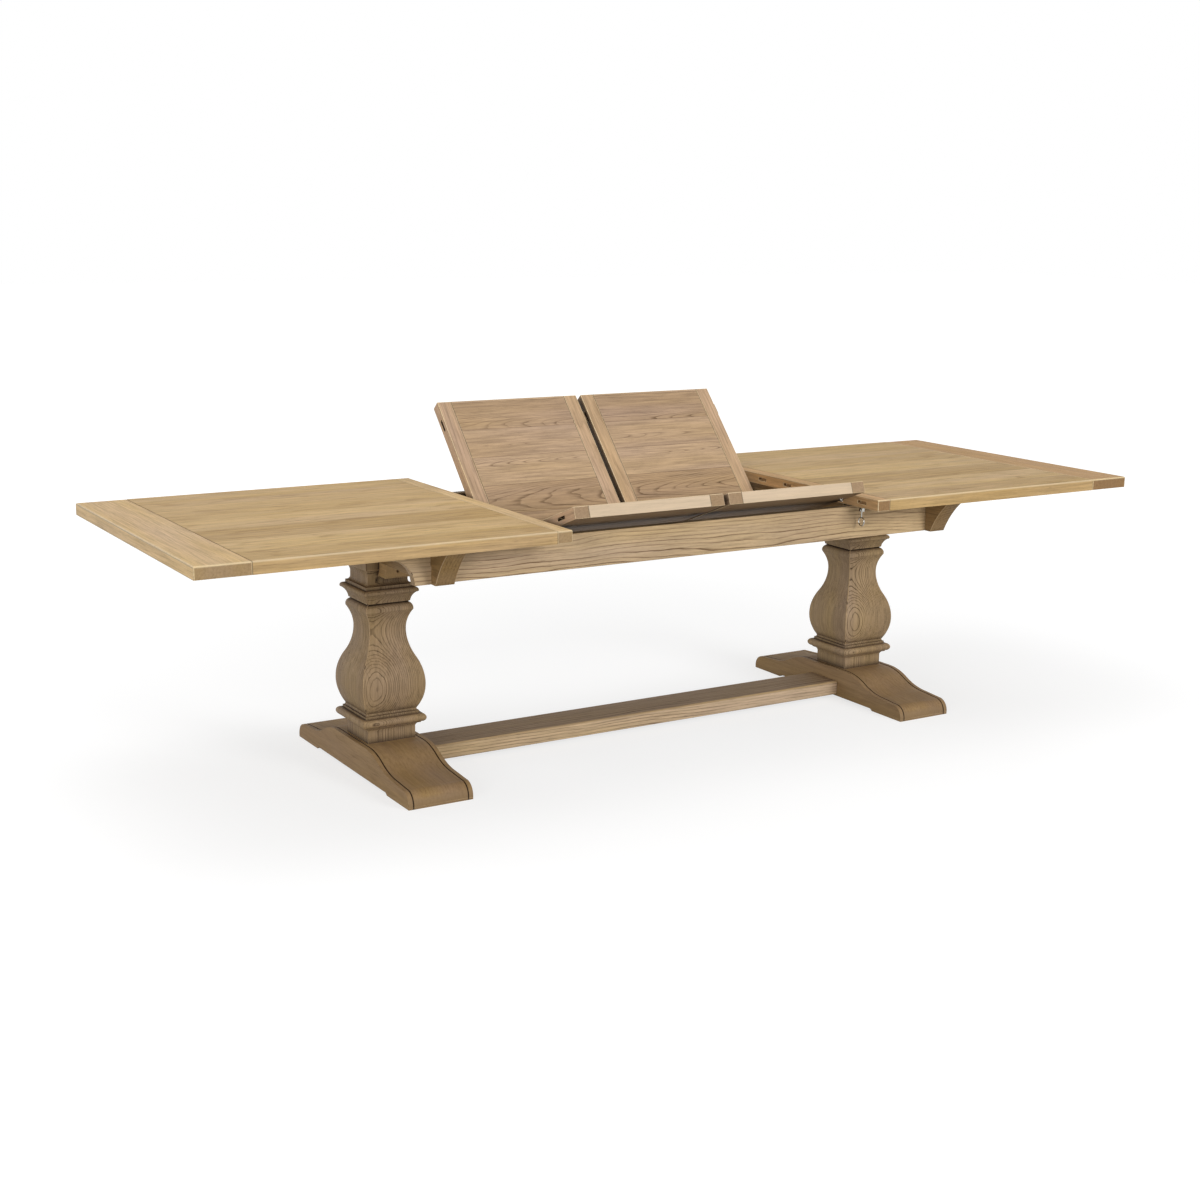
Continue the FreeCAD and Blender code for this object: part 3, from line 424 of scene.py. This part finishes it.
# %% One recipe for all the oak
VEIN_PATCHES = (0.3, 0.65)
FAINT_VEIN = 0.45
UPWARD = (0.6, 0.9)
DOWNWARD = (-0.6, -0.9)
TO_FRONT = (-0.6, -0.9)
TOP_SHADE_SHARE = 0.6
BELOW_SHADE_SHARE = 0.85
FRONT_LIGHT_SHARE = 0.5


def oak(name, pale, deep, vein, grain="x", tilt=0.0, seed=0.0, plank_mm=None, ring_mm=8,
        heart_mm=(30, 120), heart_side=0.0, rise=0.03, wander_mm=9, veins=0.6, spread=0.5, hue=1.0,
        fibre_depth=0.23, joint=0.0, end="8b7356", over=None, shade_and_stain_below=None, edge=None, seams_mm=(),
        seam_half_mm=0.9, dirt=0.72, hollow_stain_and_shade=0.0, rim=0.0, roughness=0.58):
    """Oak with its grain along one axis. tilt turns the board about X, in degrees. heart_mm is how
    far below the board the heart may lie, and heart_side shifts it sideways. over, under and edge
    are the tones of faces that look up, down and out to the front."""
    material, tree, surface = new_material(name)
    board = lay_board(tree, grain, tilt, plank_mm, seed)
    fine = add(tree, MAPPING, i0=board.moved, Scale=WOOD_FIBRES)
    fibre = add(tree, NOISE, i0=fine.outputs[0], Scale=1.0, Detail=5.0, Roughness=0.62).outputs["Fac"]
    distance = heart_distance(tree, board, heart_mm, heart_side, rise, plank_mm)
    layer = growth_rings(tree, board, distance, ring_mm, wander_mm, fibre)
    body, patch = body_colour(tree, board, pale, deep, spread, hue)
    shown = add(tree, MAP_RANGE, Value=patch, i1=VEIN_PATCHES[0], i2=VEIN_PATCHES[1],
                i3=veins * FAINT_VEIN, i4=veins)
    vein_share = add(tree, MATH, TIMES, i0=layer, i1=shown.outputs[0])
    figured = add(tree, MIX, RGBA, i0=vein_share.outputs[0], i6=body, i7=linear(vein))
    pitted = fibre_shade(tree, board, fibre, fibre_depth)
    shade = add(tree, JOIN, i0=pitted, i1=pitted, i2=pitted)
    colour = add(tree, VECTOR_MATH, TIMES, i0=figured.outputs[2], i1=shade.outputs[0]).outputs[0]

    if joint:
        colour = glue_lines(tree, board, colour, plank_mm, joint)
    colour = end_grain(tree, board, colour, end)
    # Painted shade on faces that look up, shade and partly stain on those looking down, light on front
    # ones
    if over:
        colour = face_light_shade_and_stain(tree, colour, board.facing["Z"], UPWARD, TOP_SHADE_SHARE, over)
    if shade_and_stain_below:
        colour = face_light_shade_and_stain(tree, colour, board.facing["Z"], DOWNWARD, BELOW_SHADE_SHARE, shade_and_stain_below)
    if edge:
        colour = face_light_shade_and_stain(tree, colour, board.facing["Y"], TO_FRONT, FRONT_LIGHT_SHARE, edge)
    if seams_mm:
        colour = dirty_joints(tree, board, colour, seams_mm, seam_half_mm, dirt)
    # Darker hollows: partly stain, partly painted shade
    if hollow_stain_and_shade:
        colour = stain_and_shade_in_hollows(tree, colour, hollow_stain_and_shade)
    # A paler upper rim on the tops: partly wear, partly a painted highlight
    if rim:
        colour = rim_wear_and_highlight(tree, board, colour, rim)
    tree.links.new(colour, surface.inputs["Base Color"])
    lacquer(tree, surface, vein_share.outputs[0], pitted, roughness)
    return material


print("veins fall to", FAINT_VEIN, "of their strength in the faint patches")

# %% [markdown]
# The tops and leaves come first. The tops are honey coloured and quiet. The leaves are greyer, because
# the sun has not reached them, and planks with bold arches stand beside plain ones. The grain runs
# along each board as a joiner would lay it: along the table in panels, and across it in the cleats
# that hold their ends.

# %% Oak of the tops and leaves
FAR_TILT = 47.6
NEAR_TILT = -20.6
TOP_SEAMS = (586.5, 1456.5)
LEAF_SEAMS = (56, 465)
# The leaves' undersides take a darker tone: painted shade, and partly a darker stain
leaf_oak = {"pale": "bb9f80", "deep": "9c8063", "vein": "573f2b", "shade_and_stain_below": "6e563a", "ring_mm": 3.4,
            "heart_mm": (-640, -340), "rise": 0.035, "wander_mm": 9, "plank_mm": 105, "spread": 0.7,
            "seams_mm": LEAF_SEAMS, "joint": 0.5, "fibre_depth": 0.26}
leaf_cleat_oak = {"pale": "c0a282", "deep": "a08363", "vein": "6c5339", "shade_and_stain_below": "6e563a", "grain": "y",
                  "ring_mm": 7, "heart_mm": (300, 340), "rise": 0.02, "veins": 0.5,
                  "seams_mm": LEAF_SEAMS, "hollow_stain_and_shade": 0.9, "fibre_depth": 0.26}
finishes = {
    # Wide planks with a quiet figure, so that light and tone patches lead the eye
    "top_panel": oak("oak_top_panel", "cbac7c", "a78755", "866538", plank_mm=160, seed=35.0, ring_mm=6,
                     heart_mm=(20, 90), rise=0.012, veins=0.5, spread=0.65, hue=1.3, joint=0.2,
                     seams_mm=TOP_SEAMS, dirt=0.3, rim=0.45),
    # Pale straight grain across the table, which frames the panel
    "top_cleat": oak("oak_top_cleat", "d3b487", "b99666", "94724a", grain="y", seed=3.0, ring_mm=8,
                     heart_mm=(900, 1000), heart_side=1.0, rise=0.02, veins=0.34, hue=1.3, end="7b6448",
                     seams_mm=TOP_SEAMS, dirt=0.3, rim=0.45),
    # The right hand cleats come from a browner tree and show more grain
    "right_top_cleat": oak("oak_right_top_cleat", "c29c6e", "a37e52", "7d5c38", grain="y", seed=14.0,
                           ring_mm=7, heart_mm=(-900, -800), heart_side=1.0, rise=0.02, veins=0.45,
                           end="6b5034", seams_mm=TOP_SEAMS, dirt=0.6, rim=0.45),
    # Flat sawn arches with dark porous lines, bold or faint from plank to plank
    "leaf_far_panel": oak("oak_leaf_far_panel", **leaf_oak, tilt=FAR_TILT, seed=7.0, veins=0.95),
    # The near leaf's faces that look to the front are painted paler: painted light
    "leaf_near_panel": oak("oak_leaf_near_panel", **leaf_oak, tilt=NEAR_TILT, seed=11.0, veins=0.6,
                           edge="e3d0b4"),
    # Straight grained ends of the leaves, with painted shade in their slots and in the gap between the
    # leaves
    "leaf_far_cleat": oak("oak_leaf_far_cleat", **leaf_cleat_oak, tilt=FAR_TILT, seed=2.0),
    "leaf_near_cleat": oak("oak_leaf_near_cleat", **leaf_cleat_oak, tilt=NEAR_TILT, seed=5.0),
}
print(len(finishes), "finishes for tops and leaves")

# %% [markdown]
# The frame and the base were stained darker and wiped, so their lines stay dark while the faces show
# the grain; the hollows of their mouldings are darkened partly by that stain and partly by painted
# shade. The grain runs along the aprons and the stretcher, across the table in bearers and feet, and
# upright in the columns, where the carved belly cuts the rings into ovals.

# %% Oak of the frame and base
FOOT_LINES = (798, 968)
column_oak = {"pale": "ad9371", "deep": "897153", "vein": "38271a", "grain": "z", "hollow_stain_and_shade": 1.0,
              "hue": 1.2, "veins": 1.35}
finishes.update({
    # The apron's top face is painted near black: painted shade in the dark gap beneath the leaf
    # Long wavy lines on a pale board, the boldest grain on the table
    "apron": oak("oak_apron", "c2a884", "a58967", "5c4128", seed=1.0, ring_mm=11, heart_mm=(-560, -500),
                 heart_side=0.33, rise=0.018, wander_mm=18, veins=1.2, hue=1.2, fibre_depth=0.22,
                 over="0e0a06"),
    # Dark brackets and blocks below the top: partly their own dark stain, partly painted shade from the
    # top
    "bearer": oak("oak_bearer", "8c7049", "6d5335", "432f1b", grain="y", ring_mm=11,
                  heart_mm=(-560, -500), heart_side=0.9, rise=0.05, veins=0.7),
    # Paler blocks in the columns' slots, with dry sawn ends
    "saddle": oak("oak_saddle", "b4946a", "957650", "5a4128", grain="y", ring_mm=6,
                  heart_mm=(-560, -500), heart_side=0.9, rise=0.05, veins=0.6, end="b59468"),
    # Ovals on the belly, and the hollows of the mouldings darkened: partly stain, partly painted shade
    "left_column": oak("oak_left_column", **column_oak, seed=6.0, ring_mm=4.4, heart_mm=(-946, -942),
                       heart_side=0.165, rise=0.02, wander_mm=5),
    "right_column": oak("oak_right_column", **column_oak, seed=2.0, ring_mm=4.6, heart_mm=(812, 816),
                        heart_side=0.165, rise=0.012, wander_mm=6),
    # Smooth brown boards with cloudy wear, and a dark scribed line near each side
    "foot": oak("oak_foot", "9e815c", "684d2f", "4a341f", grain="y", seed=9.0, ring_mm=12,
                heart_mm=(-30, -20), heart_side=0.86, rise=0.04, wander_mm=14, veins=0.22, hue=1.5,
                fibre_depth=0.15, seams_mm=FOOT_LINES, seam_half_mm=1.7, dirt=0.95),
    # A light front with long lines, and a top painted darker: painted shade from the table top above
    "stretcher": oak("oak_stretcher", "cdb28f", "a98d6b", "5a412a", seed=4.0, ring_mm=9,
                     heart_mm=(20, 30), heart_side=0.1, rise=0.015, veins=1.1, over="553c22"),
    # Plain fine beech, left raw inside the frame
    "beech": oak("beech_runner", "d3ab7c", "c09565", "a97c4f", seed=8.0, ring_mm=5, heart_mm=(300, 320),
                 veins=0.3),
})
print(len(finishes), "wood finishes")

# %% [markdown]
# The metal fittings are small, so their finish is told by reflection more than by pattern. Black
# paint on rolled steel has a faint orange peel, zinc plate is blotchy, brass is drawn with fine
# lines along its length, and the hooks are bright chrome with a trace of handling.

# %% Metal finishes
HANDLING = 0.3
PEEL_STRENGTH = 0.1
PEEL_DEPTH = 0.0002


def fitting(name, colour, worn, metallic, roughness, pattern_mm, stretch=1.0, level=0.15):
    """A metal surface whose tone and roughness follow a pattern of a real size."""
    material, tree, surface = new_material(name)
    place = add(tree, "ShaderNodeTexCoord")
    sized = add(tree, MAPPING, i0=place.outputs["Object"], Scale=(stretch, 1, 1))
    grain = add(tree, NOISE, i0=sized.outputs[0], Scale=1000 / pattern_mm, Detail=3.0)
    tone = add(tree, MIX, RGBA, i0=grain.outputs["Fac"], i6=linear(colour), i7=linear(worn))
    tree.links.new(tone.outputs[2], surface.inputs["Base Color"])
    dull = add(tree, MAP_RANGE, Value=grain.outputs["Fac"], i3=roughness * (1 - HANDLING),
               i4=roughness * (1 + HANDLING))
    tree.links.new(dull.outputs[0], surface.inputs["Roughness"])
    relief = add(tree, "ShaderNodeBump", Strength=PEEL_STRENGTH, Distance=PEEL_DEPTH,
                 Height=grain.outputs["Fac"])
    tree.links.new(relief.outputs[0], surface.inputs["Normal"])
    surface.inputs["Metallic"].default_value = metallic
    surface.inputs["Specular IOR Level"].default_value = level
    return material


finishes.update({
    # A dark line with hardly a glint
    "black_steel": fitting("black_painted_steel", "120e0a", "1f1914", 0.0, 0.5, 1.2, level=0.04),
    # Cool grey with soft, cloudy lights
    "bare_steel": fitting("zinc_plated_steel", "9a9b9c", "b4b4b2", 1.0, 0.34, 6),
    # Warm yellow, with lights drawn out along the piece
    "brass": fitting("drawn_brass", "b08a45", "c9a661", 1.0, 0.3, 3, stretch=0.1),
    # Small sharp lights, which show the hook against the wood
    "chrome": fitting("bright_chrome", "96958f", "b8b6b1", 1.0, 0.16, 5),
})
print("finishes in all:", len(finishes))

# %% [markdown]
# Each node of the model takes the finish of its board or fitting. Words in the node's name tell
# which one: the first rule that fits is used, so the narrow rules stand before the wide ones.

# %% Give every piece its finish
RULES = (
    ("hinges", "brass"), ("bushes", "brass"), ("lugs", "bare_steel"), ("keeper", "chrome"),
    ("latch", "chrome"), ("channel", "black_steel"), ("screws", "bare_steel"), ("tie_rods", "bare_steel"),
    ("pivot_rod", "bare_steel"), ("runners", "beech"), ("tongues", "beech"),
    ("far_panel", "leaf_far_panel"), ("near_panel", "leaf_near_panel"), ("far_cleats", "leaf_far_cleat"),
    ("near_cleats", "leaf_near_cleat"), ("top_panel", "top_panel"),
    ("right_top_outer", "right_top_cleat"), ("right_top_inner", "right_top_cleat"),
    ("cleat", "top_cleat"), ("apron", "apron"), ("bearer", "bearer"), ("cross_rail", "bearer"),
    ("saddle", "saddle"), ("foot", "foot"), ("stretcher", "stretcher"), ("left_plinth", "left_column"),
    ("left_vase", "left_column"), ("left_capital", "left_column"), ("left_neck", "left_column"),
    ("right_plinth", "right_column"), ("right_vase", "right_column"), ("right_capital", "right_column"),
    ("right_neck", "right_column"),
)
given = {}
for name, piece in nodes.items():
    finish = next(finish for word, finish in RULES if word in name)
    piece.data.materials.clear()
    piece.data.materials.append(finishes[finish])
    given.setdefault(finish, []).append(name)
for finish, names in given.items():
    print(finish, len(names))

# %% [markdown]
# Sanding takes the sharpness off every board, and the eased edge, the arris, catches the light and
# wears pale. A bevel rounds the edges and lays a paler finish on the rounding, partly that wear and
# partly a painted highlight. The model's faces come in patches, so a weld joins them first.

# %% Ease the edges of the boards
WELD_GAP = 0.00001
ARRIS_STEPS = 2
SHARP_DEGREES = 35
ARRIS_WEAR_AND_HIGHLIGHT_SLOT = 1
ARRIS_MM = {
    "top_panel": 2.2, "top_cleat": 2.2, "right_top_cleat": 2.2, "leaf_far_panel": 0.8,
    "leaf_near_panel": 0.8, "leaf_far_cleat": 0.8, "leaf_near_cleat": 0.8, "apron": 1.5, "bearer": 1.5,
    "saddle": 1.5, "left_column": 1.5, "right_column": 1.5, "foot": 0.7, "stretcher": 2.0,
}
# Bare wood where hands and cloths have taken the stain off, with a painted highlight on the rounding, and
# dark again where a joint crosses it
top_arris_wear_and_highlight = oak("oak_top_arris_wear_and_highlight", "e2cba4", "d2b68a", "b89a70", ring_mm=6, veins=0.3,
               seams_mm=TOP_SEAMS + LEAF_SEAMS, dirt=0.6)
base_arris_wear_and_highlight = oak("oak_base_arris_wear_and_highlight", "b89c77", "9d8059", "6f5539", ring_mm=9, veins=0.4,
                seams_mm=FOOT_LINES, seam_half_mm=1.7, dirt=0.95)
for finish, width in ARRIS_MM.items():
    worn = top_arris_wear_and_highlight if "top" in finish or "leaf" in finish else base_arris_wear_and_highlight
    for name in given[finish]:
        piece = nodes[name]
        piece.data.materials.append(worn)
        weld = piece.modifiers.new("joined_faces", "WELD")
        weld.merge_threshold = WELD_GAP
        bevel = piece.modifiers.new("eased_edges", "BEVEL")
        bevel.width = width / 1000
        bevel.segments = ARRIS_STEPS
        bevel.limit_method = "ANGLE"
        bevel.angle_limit = math.radians(SHARP_DEGREES)
        bevel.material = ARRIS_WEAR_AND_HIGHLIGHT_SLOT
print("edges eased on", sum(len(given[finish]) for finish in ARRIS_MM), "boards")

# %% [markdown]
# A pale floor takes the table's soft shadow. To the camera, and in reflections, it also glows a
# little more with every step away from the table, so that it joins the white background. It sends
# no such glow onto the wood, because the glow is mixed in by the kind of ray that meets the floor.

# %% Rays that show a surface


def seen_rays(tree):
    """1 for rays that show a surface to the eye, straight or in metal and glass, and 0 for light."""
    rays = add(tree, "ShaderNodeLightPath").outputs
    seen = add(tree, MATH, PLUS, i0=rays["Is Camera Ray"], i1=rays["Is Glossy Ray"])
    seen = add(tree, MATH, {"operation": "ADD", "use_clamp": True}, i0=seen.outputs[0],
               i1=rays["Is Transmission Ray"])
    return seen.outputs[0]


print("rays are told apart by a Light Path node")

# %% Floor
FLOOR_SIZE = 60.0
FLOOR_TONE = "a8a8a6"
FLOOR_SEEN = "9a9a9a"
WHITE = "ffffff"
GLOW_FROM_TO = (1.2, 5.0)
GLOW_STRENGTH = (0.72, 1.0)
bpy.ops.object.select_all(action="DESELECT")
bpy.ops.mesh.primitive_plane_add(size=FLOOR_SIZE, location=(0, 0, 0))
floor = bpy.context.object
floor.name = "studio_floor"
# Matt board, which gives the eye a soft shadow and no mirror image
paper = bpy.data.materials.new("pale_studio_floor")
paper.use_nodes = True
tree = paper.node_tree
tree.nodes.clear()
matt = add(tree, "ShaderNodeBsdfDiffuse", Color=linear(FLOOR_TONE))
soft = add(tree, "ShaderNodeBsdfDiffuse", Color=linear(FLOOR_SEEN))
spot = add(tree, "ShaderNodeTexCoord")
away = add(tree, VECTOR_MATH, {"operation": "LENGTH"}, i0=spot.outputs["Object"])
rise = add(tree, MAP_RANGE, Value=away.outputs["Value"], i1=GLOW_FROM_TO[0], i2=GLOW_FROM_TO[1],
           i3=GLOW_STRENGTH[0], i4=GLOW_STRENGTH[1])
glow = add(tree, "ShaderNodeEmission", Color=linear(WHITE), Strength=rise.outputs[0])
lit = add(tree, "ShaderNodeAddShader", i0=soft.outputs[0], i1=glow.outputs[0])
both = add(tree, "ShaderNodeMixShader", i0=seen_rays(tree), i1=matt.outputs[0], i2=lit.outputs[0])
add(tree, "ShaderNodeOutputMaterial", Surface=both.outputs[0])
floor.data.materials.append(paper)
print("floor", FLOOR_SIZE, "m across")

# %% [markdown]
# The world is white where it is seen, and gives only a third of that as light, which fills the
# shadows as the walls of a studio do. The Standard view shows a colour about as it is written.

# %% Background
WORLD_LIGHT = 0.31
world = bpy.data.worlds.new("white_studio")
bpy.context.scene.world = world
world.use_nodes = True
tree = world.node_tree
tree.nodes.clear()
strength = add(tree, MAP_RANGE, Value=seen_rays(tree), i3=WORLD_LIGHT, i4=1.0)
sky = add(tree, "ShaderNodeBackground", Color=linear(WHITE), Strength=strength.outputs[0])
add(tree, "ShaderNodeOutputWorld", Surface=sky.outputs[0])
bpy.context.scene.view_settings.view_transform = "Standard"
print("the world lights with", WORLD_LIGHT, "of the white that it shows")

# %% [markdown]
# Soft boxes as in a furniture studio: a strong one in front on the right, which leaves the left sides
# of the columns darker, a weaker one low on the left, one overhead that lights the tops and leaves
# the base in their shade, and a low one behind, so that the back can be read too. The tops mirror
# what stands straight behind them, so that last box stands aside, on the left.

# %% Lamps
LAMPS = {
    "key_box": {"at": (1.8, -5.4, 2.5), "to": (0, 0, 0.45), "size": 2.2, "power": 190},
    "fill_box": {"at": (-5.2, -3.6, 1.3), "to": (0, 0, 0.4), "size": 2.4, "power": 122},
    "top_box": {"at": (-0.8, 0.6, 4.6), "to": (-0.2, 0, 0.6), "size": 3.0, "power": 71},
    "back_box": {"at": (-3.9, 4.8, 1.3), "to": (0, 0, 0.45), "size": 2.6, "power": 70},
}
for name, lamp in LAMPS.items():
    bpy.ops.object.light_add(type="AREA", location=lamp["at"])
    light = bpy.context.object
    light.name = name
    light.data.size = lamp["size"]
    light.data.energy = lamp["power"]
    aim = Vector(lamp["to"]) - light.location
    light.rotation_euler = aim.to_track_quat("-Z", "Y").to_euler()
print(sorted(LAMPS))

# %% [markdown]
# The camera stands where the photographer stood. Its place, its three turns and its focal length
# were worked out from straight edges of the table, so every edge falls where it does in the picture.

# %% Camera
EYE = Vector((-2.95306, -4.62426, 1.64386))
PAN = 0.5483
DIP = 0.2210
ROLL = 0.0124
FOCAL_PIXELS = 1767.74
IMAGE_PIXELS = 1200
SENSOR_MM = 36
bpy.ops.object.camera_add(location=EYE)
camera = bpy.context.object
camera.data.sensor_width = SENSOR_MM
camera.data.lens = FOCAL_PIXELS / IMAGE_PIXELS * SENSOR_MM
forward = Vector((math.sin(PAN) * math.cos(DIP), math.cos(PAN) * math.cos(DIP), -math.sin(DIP)))
level = Vector((math.cos(PAN), -math.sin(PAN), 0))
upward = level.cross(forward)
right = math.cos(ROLL) * level + math.sin(ROLL) * upward
up = math.cos(ROLL) * upward - math.sin(ROLL) * level
camera.matrix_world = Matrix.Translation(EYE) @ Matrix((right, up, -forward)).transposed().to_4x4()
bpy.context.scene.camera = camera
print("lens", round(camera.data.lens, 2), "mm")
